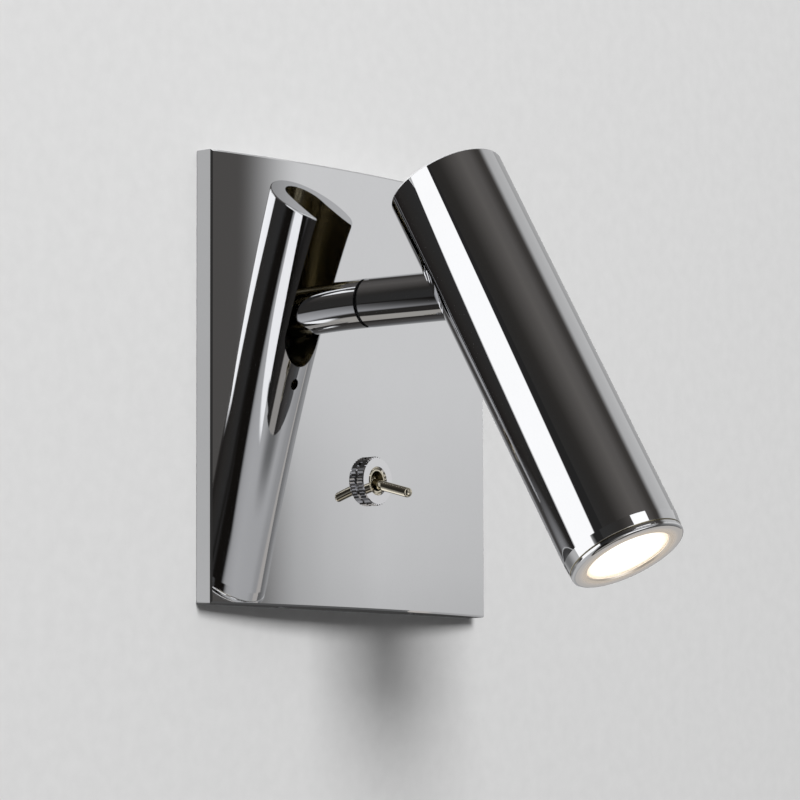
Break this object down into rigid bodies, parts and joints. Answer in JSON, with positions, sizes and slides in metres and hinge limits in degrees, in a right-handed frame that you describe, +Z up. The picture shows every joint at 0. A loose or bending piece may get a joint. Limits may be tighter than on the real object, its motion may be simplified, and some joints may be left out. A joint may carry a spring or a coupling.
{
  "type": "bedside wall reading lamp",
  "caption": "Polished chrome bedside wall reading lamp with square domed plate, swivel arm, slotted tilting tube head and toggle switch.",
  "frame": {"origin": "on the wall's face, at the centre of the mounting frame's four corner holes", "axes": "+Y into the wall, +Z up, so the room is towards -Y"},
  "size_m": [0.1054, 0.1338, 0.1078],
  "materials": {
    "polished_chrome": "polished",
    "zinc_steel": "satin",
    "spring_steel": "satin",
    "nickel_brass": "satin",
    "coated_steel": "matte",
    "turned_brass": "satin",
    "cast_zinc": "satin",
    "raw_aluminium": "satin",
    "acetal": "matte",
    "black_plastic": "matte",
    "white_nylon": "matte",
    "driver_plastic": "matte",
    "circuit_board": "satin",
    "white_board": "satin",
    "phosphor": "satin",
    "clear_acrylic": "polished",
    "lit_lens": "satin",
    "black_rubber": "matte",
    "white_silicone": "satin",
    "grey_foam": "matte",
    "black_sheath": "satin",
    "brown_sheath": "satin",
    "blue_sheath": "satin",
    "green_sheath": "satin"
  },
  "bodies": {
    "wall_unit": {"face_plate": "polished_chrome", "mounting_frame": "zinc_steel", "plate_screws": "zinc_steel", "rear_housing": "coated_steel", "frame_screws": "zinc_steel", "cable_grommet": "black_rubber", "terminal_block": "white_nylon", "terminal_barrels": "turned_brass", "terminal_screws": "zinc_steel", "block_screw": "zinc_steel", "earth_tag": "turned_brass", "earth_screw": "zinc_steel", "driver_case": "driver_plastic", "driver_lid": "driver_plastic", "driver_board": "circuit_board", "driver_pads": "grey_foam", "swivel_bush": "acetal", "arm_spacer": "black_plastic", "stop_pin": "spring_steel", "ring_nut": "polished_chrome", "switch_bushing": "nickel_brass", "switch_washer": "nickel_brass", "switch_back_nut": "nickel_brass", "switch_body": "black_plastic", "switch_tabs": "turned_brass", "lever_pin": "spring_steel", "driver_lead": "black_sheath", "live_wire": "brown_sheath", "switched_wire": "brown_sheath", "neutral_wire": "blue_sheath", "earth_wire": "green_sheath"},
    "arm_assembly": {"arm": "polished_chrome", "swivel_stem": "spring_steel", "stop_washer": "spring_steel", "spring_washer": "spring_steel", "swivel_nut": "spring_steel", "lock_nut": "spring_steel", "arm_lead": "black_sheath"},
    "head_assembly": {"head_tube": "polished_chrome", "head_grub_screw": "zinc_steel", "pivot_fork": "cast_zinc", "friction_disc_left": "acetal", "friction_disc_right": "acetal", "pivot_pins": "spring_steel", "heat_sink": "raw_aluminium", "thermal_pad": "grey_foam", "led_board": "white_board", "led_chip": "phosphor", "board_screws": "zinc_steel", "lens_holder": "white_nylon", "collimator_lens": "clear_acrylic", "front_lens": "lit_lens", "lens_seal": "white_silicone", "bezel_ring": "polished_chrome", "head_lead": "black_sheath"},
    "toggle": {"switch_lever": "polished_chrome", "switch_plunger": "turned_brass"},
    "contact_rocker": {"switch_rocker": "turned_brass"}
  },
  "joints": [
    {"name": "arm_swivel", "type": "hinge", "parent": "wall_unit", "child": "arm_assembly", "pos_m": [0, -0.0096, 0.02135], "axis": [0, 1, 0], "range_deg": [-168, 168]},
    {"name": "head_tilt", "type": "hinge", "parent": "arm_assembly", "child": "head_assembly", "pos_m": [0, -0.048, 0.02135], "axis": [-1, 0, 0], "range_deg": [-29.5, 60.5]},
    {"name": "toggle_flick", "type": "hinge", "parent": "wall_unit", "child": "toggle", "pos_m": [0, -0.0088, -0.0219], "axis": [-1, 0, 0], "range_deg": [0, 30]},
    {"name": "rocker_tip", "type": "hinge", "parent": "wall_unit", "child": "contact_rocker", "pos_m": [0, 0.0036, -0.0219], "axis": [1, 0, 0], "range_deg": [0, 20]}
  ],
  "couplings": [
    {"joint": "rocker_tip", "follows": "toggle_flick", "ratio": 0.66667}
  ]
}
